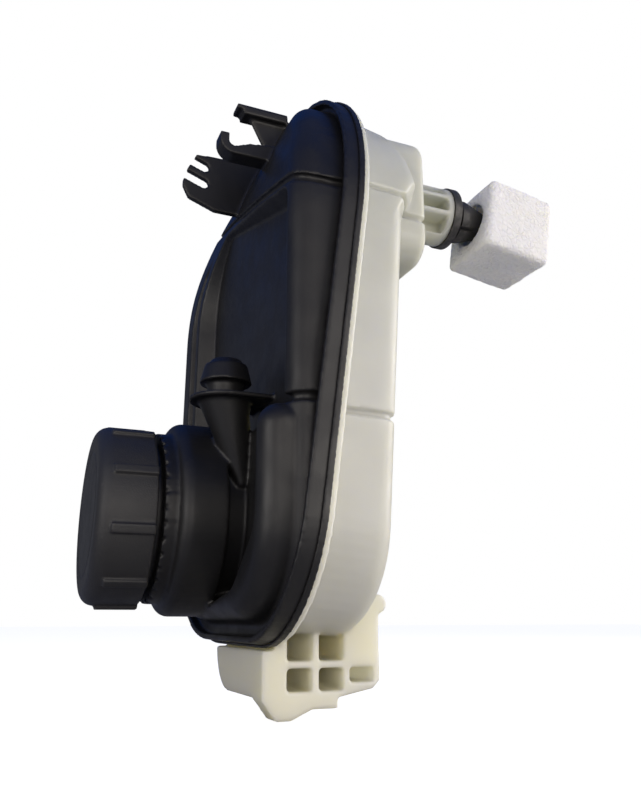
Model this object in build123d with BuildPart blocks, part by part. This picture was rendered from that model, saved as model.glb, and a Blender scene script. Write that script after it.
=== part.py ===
from build123d import *
import math
import os

# Coolant reservoir, millimetres, +Z up. The origin is the seat of the mounting buffer, where the
# tank plugs into the car's panel. +X points along the mounting peg, and the cap faces -X.

# Driving dimensions of the tank
cap_y = 50.0
cap_z = -127.0
weld_x = -70.7
weld_tilt = 7.0
front_x = -80.7
chest_x = -89.2
rear_x = -43.1
rear_tilt = 3.8
wall = 2.6
half_width = 83.5
arch_v = 99.0
far_shoulder = 17.0
bottom_v = -42.0
near_corner = 36.0
far_corner = 78.0
front_draft = 5.0
rear_draft = 3.0
front_edge_radius = 8.0
rear_edge_radius = 7.0
dome_start_v = 98.0
dome_radius = 165.0
hull_reach = 70.0

# Welded flange
lip = 4.5
front_flange = 6.5
front_flange_web = 2.6
flange_rim = 2.1
rear_flange = 3.4
bead_width = 0.9
bead_half_height = 1.1

# Lower chamber of the front shell, with the deep recess beside the neck
chest_top_v = 29.5
chest_inset = 2.0
chest_edge_radius = 8.0
shoulder_gap = 3.0
recess_depth = 10.5
recess_near_u = 68.0
recess_far_u = 12.0
recess_near_v = -8.0
recess_mid_u = 48.0
recess_mid_v = -24.0
recess_far_v = -30.0
recess_draft = 24.0
recess_corner = 8.0

# Trough and far groove of the middle zone, and the crease under the dome
trough_depth = 8.0
trough_near_u = 71.0
trough_far_reach = 46.0
trough_bottom_v = 26.0
trough_draft = 27.0
trough_corner = 6.0
trough_gap = 5.0
far_groove_reach = 60.0
far_groove_width = 7.0
far_groove_depth = 4.5
far_groove_bottom_v = 50.0
far_groove_sweep = 46.0
far_groove_draft = 18.0
crease_near_v = 109.0
crease_slope = 18.0
crease_height = 3.0
crease_depth = 2.0

# Rear shell: tower that carries the peg, its pad, and the creases
tower_x = -26.0
tower_u = 50.0
tower_v = 137.0
tower_width = 52.0
tower_height = 40.0
tower_corner = 18.0
tower_spread = 26.0
tower_drop = 18.0
tower_edge = 8.0
pad_x = -18.5
pad_u = 50.0
pad_v = 124.0
pad_width = 35.0
pad_height = 55.0
pad_corner = 11.0
pad_edge = 3.2
rear_crease_v = 26.0
rear_crease_height = 2.6
rear_crease_depth = 1.5
tower_crease_v = 112.0

# Mounting peg and rubber buffer
peg_radius = 12.2
peg_disc = 2.6
peg_rib = 2.0
peg_web = 4.0
peg_rib_pitch = 7.6
stud_radius = 4.6
stud_length = 15.0
buffer_radius = 12.8
buffer_disc = 3.2
waist_radius = 7.6
waist_length = 3.0
nose_radius = 9.0
nose_length = 19.0
nose_tip_radius = 4.2
nose_slot = 1.6
rubber_gap = 0.1

# Foam block
foam_side = 31.5
foam_pitch = 9.5
foam_x = 28.8
foam_z = -2.7
foam_edge = 2.5
foam_gap = 0.3

# Neck and collar, heights measured outwards from the lower chamber's front face
collar_radius = 37.0
collar_height = 14.5
collar_edge = 4.5
ring_radius = 32.5
ring_height = 5.0
ring_teeth = 36
tooth_width = 2.0
tooth_depth = 1.2
neck_base_radius = 32.0
neck_radius = 27.5
neck_bore = 24.8
neck_height = 34.9
thread_pitch = 6.0
thread_height = 2.0
thread_base = 2.8
thread_tip = 1.3
thread_turns = 1.5
stop_width = 9.0

# Screw cap
cap_radius = 33.2
cap_rib_proud = 1.4
cap_rib_width = 3.4
cap_ribs = 10
cap_rib_start = 22.0
cap_rim_h = 22.0
cap_top_h = 42.5
cap_top_wall = 2.5
cap_skirt_bore = 30.4
cap_edge = 5.0
cap_fit = 0.3
face_ring_radius = 24.0

# Pieces in the cap
insert_flange_radius = 29.6
insert_flange = 2.6
insert_radius = 24.2
insert_end_h = 14.0
insert_bore = 16.0
seat_bore = 11.0
seat_height = 2.4
seal_section = 3.2
seal_h = 23.5
seal_fit = 0.05
gasket_inner = 25.2
gasket_outer = 28.4
lock_ring_height = 1.0
lock_ring_bite = 0.9
plate_radius = 15.4
plate_height = 2.2
plate_hole = 3.4
pressure_seal_inner = 11.6
pressure_seal_outer = 14.6
pressure_seal_height = 1.2
spring_radius = 11.4
spring_wire = 1.7
spring_turns = 4.0
retainer_height = 1.6
retainer_h = 33.0
retainer_hole = 5.0
poppet_radius = 7.4
poppet_height = 1.4
poppet_stem = 2.4
poppet_head = 4.8
poppet_head_height = 1.2
poppet_stem_top = 5.2
vacuum_spring_radius = 3.7
vacuum_spring_wire = 0.6
vacuum_spring_turns = 4.0

# Hose nozzle, its plate and the elbow under it
nozzle_x = -88.0
nozzle_y = 20.0
nozzle_base_z = -85.0
plate_thick = 1.8
plate_half = 13.5
elbow_drop = 31.0
elbow_top_radius = 10.0
elbow_end_radius = 2.4
nozzle_barrel = 7.0
nozzle_barrel_length = 5.6
nozzle_barb = 10.0
nozzle_barb_length = 7.4
nozzle_barb_draft = 14.0
nozzle_lead = 2.2
nozzle_lead_draft = 30.0
nozzle_bore = 4.4

# Hose clips
clip_thick = 2.2
clip_root_x = -62.0
blade_y = 30.0
blade_width = 8.0
blade_front_x = -85.5
blade_z = 50.0
blade_step = 3.0
gusset_front_x = -80.0
gusset_drop = 17.0
hook_y = 25.0
hook_width = 8.0
hook_x = -87.3
hook_z = 29.5
hook_outer = 6.5
hook_inner = 2.6
hook_tip = 3.0
comb_y = 59.5
comb_width = 3.0
comb_front_x = -101.0
comb_top_z = 43.5
comb_low_z = 16.0
comb_gap = 4.6
comb_gap_lip = 2.8
comb_gap_x = -91.5
comb_upper_gap_z = 37.6
comb_lower_gap_z = 29.0
comb_gap_turn = 160.0

# Ribbed foot
foot_near_y = -4.0
foot_far_y = 52.0
foot_front_x = -79.0
foot_rear_x = -37.0
foot_height = 21.0
foot_root = 9.0
foot_heel = 6.5
foot_heel_depth = 10.0
foot_heel_flat = 5.0
foot_rib = 2.2
foot_post = 8.5
foot_side = 2.0
foot_floor = 2.2
foot_shelf_share = 0.5
foot_pocket = 24.0
foot_round = 16.0
foot_slope = 2.5
foot_tab = 3.2
foot_gap = 0.6

# Inner baffles, where the outer creases are
baffle_wall = 2.0
baffle_hole = 6.0
baffle_hole_pitch = 70.0

# Level sensor, on the rear wall
sensor_y = 84.0
sensor_z = -117.0
sensor_hole = 9.0
sensor_flange = 13.5
sensor_ear = 17.5
sensor_flange_height = 3.0
sensor_pad_height = 1.2
sensor_plug_radius = 8.7
sensor_plug_depth = 6.0
sensor_gasket_outer = 12.5
sensor_gasket_height = 1.0
sensor_boss = 3.8
sensor_boss_depth = 10.0
screw_radius = 1.9
screw_fit = 0.05
screw_length = 11.0
screw_head = 3.6
screw_head_height = 2.2
screw_slot = 0.9
stem_radius = 3.2
stem_bore = 1.8
stem_length = 34.0
float_radius = 8.4
float_height = 15.0
float_fit = 0.4
magnet_inner = 4.6
magnet_outer = 6.8
magnet_height = 3.0
clip_ring_radius = 5.4
clip_ring_height = 1.4
clip_groove = 0.7
reed_radius = 1.3
reed_length = 13.0
socket_length = 11.0
socket_width = 15.0
socket_height = 11.0
socket_wall = 1.6
pin_side = 0.9
pin_length = 7.0
pin_pitch = 5.0

# Working planes. The weld plane's u runs to the near side, v up along the flange, w to the cap.
tilt = math.radians(weld_tilt)
weld = Plane(origin=(weld_x, cap_y, cap_z), x_dir=(0, -1, 0), z_dir=(-math.cos(tilt), 0, math.sin(tilt)))
front = Plane(origin=(front_x, cap_y, cap_z), x_dir=(0, -1, 0), z_dir=(-1, 0, 0))
neck = Plane(origin=(chest_x, cap_y, cap_z), x_dir=(0, -1, 0), z_dir=(-1, 0, 0))
axial = Plane(origin=(chest_x, cap_y, cap_z), x_dir=(0, 0, 1), z_dir=(0, -1, 0))
cap_axis = Axis((chest_x, cap_y, cap_z), (-1, 0, 0))
peg_axis = Axis((0, 0, 0), (1, 0, 0))
side = Plane(origin=(0, 0, 0), x_dir=(1, 0, 0), z_dir=(0, -1, 0))


def tank_outline(plane, grow):
    """Return the arched outline of the tank, fuller at its far shoulder, grown by a distance."""
    reach = half_width + grow
    near = near_corner + grow
    far = far_corner + grow
    bottom = bottom_v - grow
    with BuildSketch(plane) as outline:
        with BuildLine():
            Line((reach, bottom + near), (reach, arch_v))
            CenterArc((0, arch_v), reach, 0, 90)
            Line((0, arch_v + reach), (-far_shoulder, arch_v + reach))
            CenterArc((-far_shoulder, arch_v + far_shoulder), reach - far_shoulder, 90, 90)
            Line((-reach, arch_v + far_shoulder), (-reach, bottom + far))
            CenterArc((far - reach, bottom + far), far, 180, 90)
            Line((far - reach, bottom), (reach - near, bottom))
            CenterArc((reach - near, bottom + near), near, 270, 90)
        make_face()
    return outline.sketch


def chest_outline(plane, grow):
    """Return the lower chamber's outline: the tank's own, ended by a rounded shoulder."""
    top = chest_top_v + grow
    with BuildSketch(plane) as outline:
        add(tank_outline(Plane.XY, grow - chest_inset))
        with Locations((0, top)):
            Rectangle(3 * half_width, 3 * half_width, align=(Align.CENTER, Align.MAX), mode=Mode.INTERSECT)
        fillet(outline.vertices().group_by(Axis.Y)[-1], chest_edge_radius + grow)
    return outline.sketch


def trough_outline(plane, grow):
    """Return the floor of the middle zone's recess: under the crease, inside the arch."""
    rise = math.tan(math.radians(crease_slope))
    near = trough_near_u + grow
    far = -trough_far_reach - grow
    top = crease_near_v + rise * half_width - trough_gap + grow
    bottom = trough_bottom_v - grow
    with BuildSketch() as spandrel:
        with Locations((0, arch_v)):
            Rectangle(2 * half_width, 2 * half_width, align=(Align.MAX, Align.MIN))
            Circle(-far, mode=Mode.SUBTRACT)
    with BuildSketch(plane) as outline:
        with BuildLine():
            Polyline((near, bottom), (near, top - rise * near), (far, top - rise * far), (far, bottom), close=True)
        make_face()
        add(spandrel.sketch, mode=Mode.SUBTRACT)
        fillet(outline.vertices().filter_by(lambda corner: abs(corner.Y - arch_v) > 1), trough_corner)
    return outline.sketch


def groove_outline(plane, grow):
    """Return the floor of the far groove: a band that runs up the side and round the arch."""
    outer = far_groove_reach + far_groove_width / 2 + grow
    inner = far_groove_reach - far_groove_width / 2 - grow
    low = far_groove_bottom_v - grow
    with BuildSketch(plane) as outline:
        with BuildLine():
            Line((-outer, low), (-outer, arch_v))
            outer_arc = CenterArc((0, arch_v), outer, 180, -far_groove_sweep)
            inner_arc = CenterArc((0, arch_v), inner, 180, -far_groove_sweep)
            Line(outer_arc @ 1, inner_arc @ 1)
            Line((-inner, arch_v), (-inner, low))
            Line((-inner, low), (-outer, low))
        make_face()
    return outline.sketch


def recess_outline(plane, grow):
    """Return the floor of the recess between the lower chamber's near ridge and the neck."""
    top = chest_top_v + 2 * trough_corner
    with BuildSketch(plane) as outline:
        with BuildLine():
            Polyline(
                (recess_near_u, top),
                (recess_near_u, recess_near_v),
                (recess_mid_u, recess_mid_v),
                (recess_far_u, recess_far_v),
                (recess_far_u, top),
                close=True,
            )
        make_face()
        fillet(outline.vertices(), recess_corner)
        if grow > 0:
            offset(amount=grow)
    return outline.sketch


def front_hull(inset):
    """Return the front half's body, shrunk by a wall: main chamber, dome, lower chamber and recesses."""
    with BuildPart() as hull:
        extrude(tank_outline(weld, -inset), amount=hull_reach, taper=front_draft)
        split(bisect_by=Plane(origin=(front_x + inset, 0, 0), z_dir=(1, 0, 0)), keep=Keep.TOP)
        # The dome leans back over the crease, on a long arc
        with BuildSketch(Plane(origin=(0, cap_y, 0), x_dir=(1, 0, 0), z_dir=(0, -1, 0))):
            with Locations((front_x + dome_radius, cap_z + dome_start_v)):
                Circle(dome_radius - inset)
            with Locations((front_x + inset, cap_z + dome_start_v)):
                Rectangle(3 * hull_reach, 3 * half_width, align=(Align.MIN, Align.MAX))
        extrude(amount=2 * half_width, both=True, mode=Mode.INTERSECT)
        flat = hull.faces().filter_by(GeomType.PLANE).sort_by(Axis.X)[0]
        dome = hull.faces().filter_by(GeomType.CYLINDER).sort_by(Axis.X)[0]
        seam = flat.edges().filter_by(Axis.Y).sort_by(Axis.Z)[-1]
        rim = [edge for edge in flat.edges() + dome.edges() if edge.distance_to(seam.center()) > 0.01]
        fillet(rim, front_edge_radius - inset)
        trough = trough_outline(front.offset(-inset - trough_depth), inset)
        extrude(trough, amount=2 * trough_depth, taper=-trough_draft, mode=Mode.SUBTRACT)
        groove = groove_outline(front.offset(-inset - far_groove_depth), inset)
        extrude(groove, amount=2 * far_groove_depth, taper=-far_groove_draft, mode=Mode.SUBTRACT)
    with BuildPart() as chest:
        extrude(chest_outline(weld, -inset), amount=hull_reach, taper=front_draft)
        split(bisect_by=Plane(origin=(chest_x + inset, 0, 0), z_dir=(1, 0, 0)), keep=Keep.TOP)
        fillet(chest.faces().filter_by(GeomType.PLANE).sort_by(Axis.X)[0].edges(), chest_edge_radius - inset)
    with BuildPart() as both:
        add(hull.part)
        add(chest.part)
        recess = recess_outline(neck.offset(-inset - recess_depth), inset)
        extrude(recess, amount=2 * recess_depth, taper=-recess_draft, mode=Mode.SUBTRACT)
    return both.part


def rear_hull(inset):
    """Return the rear half's body, shrunk by a wall: chamber, tower and pad."""
    rear = Plane(
        origin=(rear_x - inset, cap_y, cap_z),
        x_dir=(0, 1, 0),
        z_dir=(math.cos(math.radians(rear_tilt)), 0, -math.sin(math.radians(rear_tilt))),
    )
    tower_base = Plane(origin=(weld_x + 2 * wall, cap_y, cap_z), x_dir=(0, -1, 0), z_dir=(-1, 0, 0))
    tower_top = Plane(origin=(tower_x - inset, cap_y, cap_z), x_dir=(0, -1, 0), z_dir=(-1, 0, 0))
    pad = Plane(origin=(pad_x - inset, cap_y, cap_z), x_dir=(0, -1, 0), z_dir=(-1, 0, 0))
    with BuildPart() as hull:
        extrude(tank_outline(weld, -inset), amount=-hull_reach, taper=rear_draft)
        split(bisect_by=rear, keep=Keep.BOTTOM)
        fillet(hull.faces().filter_by(GeomType.PLANE).sort_by(Axis.X)[-1].edges(), rear_edge_radius - inset)
    with BuildPart() as tower:
        with BuildSketch(tower_base):
            with Locations((tower_u, tower_v - tower_drop)):
                RectangleRounded(
                    tower_width + 2 * tower_spread - 2 * inset,
                    tower_height + 2 * tower_spread + 2 * tower_drop - 2 * inset,
                    tower_corner + tower_spread / 2 - inset,
                )
        with BuildSketch(tower_top):
            with Locations((tower_u, tower_v)):
                RectangleRounded(tower_width - 2 * inset, tower_height - 2 * inset, tower_corner - inset)
        loft(ruled=True)
        extrude(tank_outline(weld, -inset), amount=-hull_reach, taper=rear_draft, mode=Mode.INTERSECT)
        fillet(tower.faces().sort_by(Axis.X)[-1].edges(), tower_edge - inset)
    with BuildPart() as block:
        with BuildSketch(pad):
            with Locations((pad_u, pad_v)):
                RectangleRounded(pad_width - 2 * inset, pad_height - 2 * inset, pad_corner - inset)
        extrude(amount=pad_x - inset - weld_x - 2 * wall)
        fillet(block.faces().sort_by(Axis.X)[-1].edges(), pad_edge - inset)
    with BuildPart() as both:
        add(hull.part)
        add(tower.part)
        add(block.part)
        split(bisect_by=weld, keep=Keep.BOTTOM)
    return both.part


def crease(hull, core, near_v, slope, height):
    """Return a shallow band round a hull: a slanted slab between its skin and a shrunk core."""
    slab = Plane(
        origin=(weld_x, cap_y - half_width, cap_z + near_v),
        x_dir=(1, 0, 0),
        z_dir=(0, -math.sin(math.radians(slope)), math.cos(math.radians(slope))),
    )
    with BuildPart() as band:
        with BuildSketch(slab):
            Rectangle(4 * hull_reach, 6 * half_width)
        extrude(amount=height)
        add(hull, mode=Mode.INTERSECT)
        add(core, mode=Mode.SUBTRACT)
    return band.part


def baffle(inner, near_v, slope, hole_x):
    """Return a baffle across a hollow, pierced by two flow holes."""
    rise = math.radians(slope)
    slab = Plane(
        origin=(weld_x, cap_y - half_width, cap_z + near_v),
        x_dir=(1, 0, 0),
        z_dir=(0, -math.sin(rise), math.cos(rise)),
    )
    with BuildPart() as web:
        with BuildSketch(slab):
            Rectangle(4 * hull_reach, 6 * half_width)
        extrude(amount=baffle_wall)
        add(inner, mode=Mode.INTERSECT)
        with BuildSketch(Plane(origin=(hole_x, cap_y, cap_z), x_dir=(1, 0, 0), z_dir=(0, 0, 1))):
            with GridLocations(0, baffle_hole_pitch, 1, 2):
                Circle(baffle_hole)
        extrude(amount=2 * half_width, mode=Mode.SUBTRACT)
    return web.part


def along_cap(height):
    """Return the plane square to the cap's axis at a height over the lower chamber."""
    return neck.offset(height)


def thread_ridge(radius, start_h, outward):
    """Return a helical ridge that starts at a height and stands outwards or inwards."""
    reach = thread_height if outward else -thread_height
    root = -0.3 if outward else 0.3
    with BuildPart() as ridge:
        with BuildLine() as path:
            Helix(
                thread_pitch,
                thread_pitch * thread_turns,
                radius,
                center=(chest_x - start_h, cap_y, cap_z),
                direction=(-1, 0, 0),
            )
        begin = path.wire() @ 0
        radial = (begin - Vector(chest_x - start_h, cap_y, cap_z)).normalized()
        section = Plane(origin=begin, x_dir=radial, z_dir=path.wire() % 0)
        with BuildSketch(section):
            with BuildLine():
                Polyline(
                    (root, -thread_base / 2),
                    (0, -thread_base / 2),
                    (reach, -thread_tip / 2),
                    (reach, thread_tip / 2),
                    (0, thread_base / 2),
                    (root, thread_base / 2),
                    close=True,
                )
            make_face()
        sweep(is_frenet=True)
    return ridge.part


# Flow holes stand clear of the weld plane on each side
front_hole_x = weld_x + math.tan(tilt) * crease_near_v - baffle_hole - 2 * wall
rear_hole_x = weld_x + math.tan(tilt) * crease_near_v + baffle_hole + 2 * wall

# Outer bodies and the hollows of both halves
front_outer = front_hull(0)
front_inner = front_hull(wall)
rear_outer = rear_hull(0)
rear_inner = rear_hull(wall)

# Front half-shell: chambers, flange, collar, neck with thread, nozzle and hose clips
nozzle_foot = Plane(origin=(nozzle_x, nozzle_y, nozzle_base_z), x_dir=(1, 0, 0), z_dir=(0, 0, 1))
nozzle_tip = nozzle_barrel_length + nozzle_barb_length + nozzle_lead

with BuildPart() as neck_body:
    with BuildSketch(along_cap(-wall)):
        Circle(collar_radius)
    extrude(amount=collar_height + wall)
    fillet(neck_body.edges().filter_by(GeomType.CIRCLE).sort_by(Axis.X)[0], collar_edge)
    with BuildSketch(along_cap(-recess_depth - wall)):
        Circle(neck_base_radius)
    extrude(amount=recess_depth + wall)
    with BuildSketch(along_cap(collar_height)):
        Circle(ring_radius)
    extrude(amount=ring_height)
    with BuildSketch(along_cap(collar_height)):
        Circle(neck_radius)
    extrude(amount=neck_height - collar_height)
    add(thread_ridge(neck_radius, collar_height + ring_height + thread_base, True))
    with BuildSketch(along_cap(collar_height + ring_height)):
        with Locations((ring_radius - 1, 0)):
            Rectangle(2, stop_width)
    extrude(amount=-ring_height)
    with BuildSketch(along_cap(collar_height + ring_height)):
        with PolarLocations(ring_radius, ring_teeth):
            Rectangle(2 * tooth_depth, tooth_width)
    extrude(amount=-tooth_depth, mode=Mode.SUBTRACT)
neck_body.part.label = "neck_body"

with BuildPart() as neck_hollow:
    with BuildSketch(along_cap(-recess_depth - 2 * wall)):
        Circle(neck_bore)
    extrude(amount=neck_height + recess_depth + 3 * wall)
neck_hollow.part.label = "neck_hollow"

with BuildPart() as nozzle_body:
    with BuildSketch(nozzle_foot):
        Circle(nozzle_barrel)
    extrude(amount=nozzle_barrel_length)
    with BuildSketch(nozzle_foot.offset(nozzle_barrel_length)):
        Circle(nozzle_barb)
    extrude(amount=nozzle_barb_length, taper=nozzle_barb_draft)
    with BuildSketch(nozzle_foot.offset(nozzle_barrel_length + nozzle_barb_length)):
        Circle(nozzle_barrel)
    extrude(amount=nozzle_lead, taper=nozzle_lead_draft)
    with BuildSketch(nozzle_foot.offset(-plate_thick)):
        Circle(plate_half)
        Rectangle(front_x - nozzle_x + trough_depth + wall / 2, 2 * plate_half, align=(Align.MIN, Align.CENTER))
    extrude(amount=plate_thick)
    with BuildSketch(nozzle_foot.offset(-plate_thick)):
        Circle(elbow_top_radius)
    with BuildSketch(nozzle_foot.offset(-plate_thick - elbow_drop)):
        with Locations((elbow_top_radius - elbow_end_radius, 0)):
            Circle(elbow_end_radius)
    loft(ruled=True)
nozzle_body.part.label = "nozzle_body"

# The nozzle's bore turns inside the elbow and opens into the tank
elbow_turn_z = nozzle_base_z - plate_thick - nozzle_bore
with BuildPart() as nozzle_hollow:
    with BuildSketch(nozzle_foot.offset(nozzle_tip)):
        Circle(nozzle_bore)
    extrude(amount=elbow_turn_z - nozzle_base_z - nozzle_tip)
    with BuildSketch(Plane(origin=(nozzle_x, nozzle_y, elbow_turn_z), x_dir=(0, 1, 0), z_dir=(1, 0, 0))):
        Circle(nozzle_bore)
    extrude(amount=chest_x - nozzle_x + recess_depth + 2 * wall + nozzle_bore)
nozzle_hollow.part.label = "nozzle_hollow"

with BuildPart() as clips:
    # Flat blade over the top of the dome, with its lower web and gusset
    with BuildSketch(Plane(origin=(0, blade_y, 0), x_dir=(1, 0, 0), z_dir=(0, -1, 0))):
        with Locations((blade_front_x, blade_z)):
            Rectangle(clip_root_x - blade_front_x, clip_thick, align=(Align.MIN, Align.MIN))
        with Locations((blade_front_x + blade_step, blade_z)):
            Rectangle(clip_root_x - blade_front_x - blade_step, clip_thick, align=(Align.MIN, Align.MAX))
    extrude(amount=blade_width / 2, both=True)
    with BuildSketch(Plane(origin=(0, blade_y, 0), x_dir=(1, 0, 0), z_dir=(0, -1, 0))):
        with BuildLine():
            Polyline(
                (gusset_front_x, blade_z),
                (clip_root_x, blade_z),
                (clip_root_x, blade_z - gusset_drop),
                ((gusset_front_x + clip_root_x) / 2, blade_z - gusset_drop),
                close=True,
            )
        make_face()
    extrude(amount=clip_thick / 2, both=True)
    # Hook that holds a hose from below: a quarter ring, its tip and the bar to the dome
    with BuildSketch(Plane(origin=(hook_x, hook_y, hook_z), x_dir=(1, 0, 0), z_dir=(0, -1, 0))):
        Circle(hook_outer)
        Circle(hook_inner, mode=Mode.SUBTRACT)
        Rectangle(4 * hook_outer, 2 * hook_outer, align=(Align.CENTER, Align.MIN), mode=Mode.SUBTRACT)
        Rectangle(2 * hook_outer, 4 * hook_outer, align=(Align.MIN, Align.CENTER), mode=Mode.SUBTRACT)
        with Locations((-hook_outer, 0)):
            Rectangle(hook_outer - hook_inner, hook_tip, align=(Align.MIN, Align.MIN))
        with BuildLine():
            Polyline(
                (0, -hook_outer),
                (clip_root_x - hook_x, -hook_outer),
                (clip_root_x - hook_x, hook_tip),
                (hook_outer, 0),
                (0, -hook_inner),
                close=True,
            )
        make_face()
    extrude(amount=hook_width / 2, both=True)
    # Comb: a thin plate with two slots that pipes press into
    with BuildSketch(Plane(origin=(0, comb_y, 0), x_dir=(1, 0, 0), z_dir=(0, -1, 0))):
        with BuildLine():
            Polyline(
                (comb_front_x + 2 * comb_gap_lip, comb_top_z),
                (clip_root_x, comb_top_z + clip_thick),
                (clip_root_x, comb_low_z),
                (comb_gap_x + 2 * comb_gap_lip, comb_low_z),
                (comb_front_x + comb_gap_lip, comb_low_z + comb_gap),
                (comb_front_x, comb_lower_gap_z - comb_gap_lip),
                (comb_front_x, comb_lower_gap_z + comb_gap_lip),
                close=True,
            )
        make_face()
        for gap_z in (comb_upper_gap_z, comb_lower_gap_z):
            with Locations(Location((comb_gap_x, gap_z, 0), (0, 0, comb_gap_turn))):
                Circle(comb_gap / 2, mode=Mode.SUBTRACT)
                Rectangle(
                    -2 * (comb_front_x - comb_gap_x),
                    comb_gap,
                    align=(Align.MIN, Align.CENTER),
                    mode=Mode.SUBTRACT,
                )
    extrude(amount=comb_width / 2, both=True)
clips.part.label = "clips"

front_core = front_hull(crease_depth)
front_crease = crease(front_outer, front_core, crease_near_v, crease_slope, crease_height)
shoulder_crease = crease(front_outer, front_core, chest_top_v, 0, shoulder_gap)
with BuildPart() as front_shell:
    extrude(tank_outline(weld, lip), amount=front_flange)
    extrude(tank_outline(weld.offset(front_flange_web), lip - flange_rim), amount=hull_reach, mode=Mode.SUBTRACT)
    add(front_outer)
    add(front_crease, mode=Mode.SUBTRACT)
    add(shoulder_crease, mode=Mode.SUBTRACT)
    add(neck_body.part)
    add(nozzle_body.part)
    add(clips.part)
    add(front_inner, mode=Mode.SUBTRACT)
    add(baffle(front_inner, crease_near_v, crease_slope, front_hole_x))
    add(neck_hollow.part, mode=Mode.SUBTRACT)
    add(nozzle_hollow.part, mode=Mode.SUBTRACT)
front_shell.part.label = "front_shell"

# Rear half-shell: chamber, tower, peg, foot and flange
rear_lean = math.tan(math.radians(rear_tilt))
sensor_seat_x = rear_x + rear_lean * (sensor_z + sensor_flange - cap_z) + sensor_pad_height
sensor = Plane(origin=(sensor_seat_x, sensor_y, sensor_z), x_dir=(0, 1, 0), z_dir=(1, 0, 0))
pad_plane = Plane(origin=(pad_x, 0, 0), x_dir=(0, 1, 0), z_dir=(1, 0, 0))
peg_length = -pad_x - buffer_disc / 2

with BuildPart() as peg:
    with BuildSketch(pad_plane):
        Circle(peg_radius)
    extrude(amount=peg_length)
    with BuildSketch(pad_plane):
        with Locations((peg_web / 2, 0)):
            with GridLocations(0, peg_rib_pitch, 1, 3):
                Rectangle(peg_radius, peg_rib_pitch - peg_rib, align=(Align.MIN, Align.CENTER))
        with Locations((-peg_web / 2, 0)):
            with GridLocations(0, peg_rib_pitch, 1, 3):
                Rectangle(peg_radius, peg_rib_pitch - peg_rib, align=(Align.MAX, Align.CENTER))
    extrude(amount=peg_length - peg_disc, mode=Mode.SUBTRACT)
    with BuildSketch(pad_plane.offset(peg_length)):
        Circle(stud_radius)
    extrude(amount=stud_length)
peg.part.label = "peg"

# The foot hangs under the tank and stands forward of the weld below the flange
tank_low_z = cap_z + bottom_v * math.cos(tilt)
foot_top_z = tank_low_z + foot_root
foot_bottom_z = tank_low_z - foot_height
foot_step_z = cap_z + (bottom_v - lip - bead_width) * math.cos(tilt) - foot_gap
foot_step_x = weld_x + (foot_top_z - cap_z) * math.tan(tilt)
pocket_left = foot_front_x + foot_post
pocket_width = (foot_rear_x - foot_side - pocket_left - 2 * foot_rib) / 3
shelf_z = foot_bottom_z + foot_height * foot_shelf_share
foot_plane = Plane(origin=(0, foot_near_y, 0), x_dir=(1, 0, 0), z_dir=(0, -1, 0))
heel_x = foot_front_x + foot_heel_flat
rib_x = pocket_left + 2 * pocket_width

with BuildPart() as foot:
    with BuildSketch(foot_plane):
        with BuildLine():
            Polyline(
                (foot_front_x, foot_step_z),
                (foot_step_x, foot_step_z),
                (foot_step_x, foot_top_z),
                (foot_rear_x, foot_top_z),
                (foot_rear_x, foot_bottom_z + 2 * foot_slope),
                (foot_rear_x - foot_slope, foot_bottom_z + foot_slope),
                (rib_x, foot_bottom_z),
                (foot_front_x, foot_bottom_z),
                close=True,
            )
        make_face()
    extrude(amount=foot_near_y - foot_far_y)
    fillet(foot.edges().filter_by(Axis.X).group_by(Axis.Y)[-1].sort_by(Axis.Z)[0], foot_round)
    # Heel under the near end, with the flat that the foot stands on
    with BuildSketch(foot_plane):
        with BuildLine():
            Polyline(
                (foot_front_x, foot_bottom_z),
                (heel_x, foot_bottom_z - foot_heel),
                (heel_x + foot_heel_flat, foot_bottom_z - foot_heel),
                (heel_x + 2.5 * foot_heel_flat, foot_bottom_z - foot_heel / 2),
                (rib_x, foot_bottom_z - foot_heel / 2),
                (rib_x, foot_bottom_z),
                close=True,
            )
        make_face()
        with Locations((foot_rear_x, foot_top_z)):
            Circle(foot_tab)
    extrude(amount=-foot_heel_depth)
    # Pockets open to the near side: two over the shelf, three under it
    with BuildSketch(foot_plane):
        for column in range(3):
            left = pocket_left + column * (pocket_width + foot_rib)
            if column < 2:
                with Locations((left, shelf_z + foot_rib / 2)):
                    Rectangle(pocket_width, foot_top_z - shelf_z, align=(Align.MIN, Align.MIN))
            low = foot_bottom_z + foot_floor + (foot_slope if column == 2 else 0)
            with Locations((left, shelf_z - foot_rib / 2)):
                Rectangle(pocket_width, shelf_z - foot_rib / 2 - low, align=(Align.MIN, Align.MAX))
    extrude(amount=-foot_pocket, mode=Mode.SUBTRACT)
foot.part.label = "foot"

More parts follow.
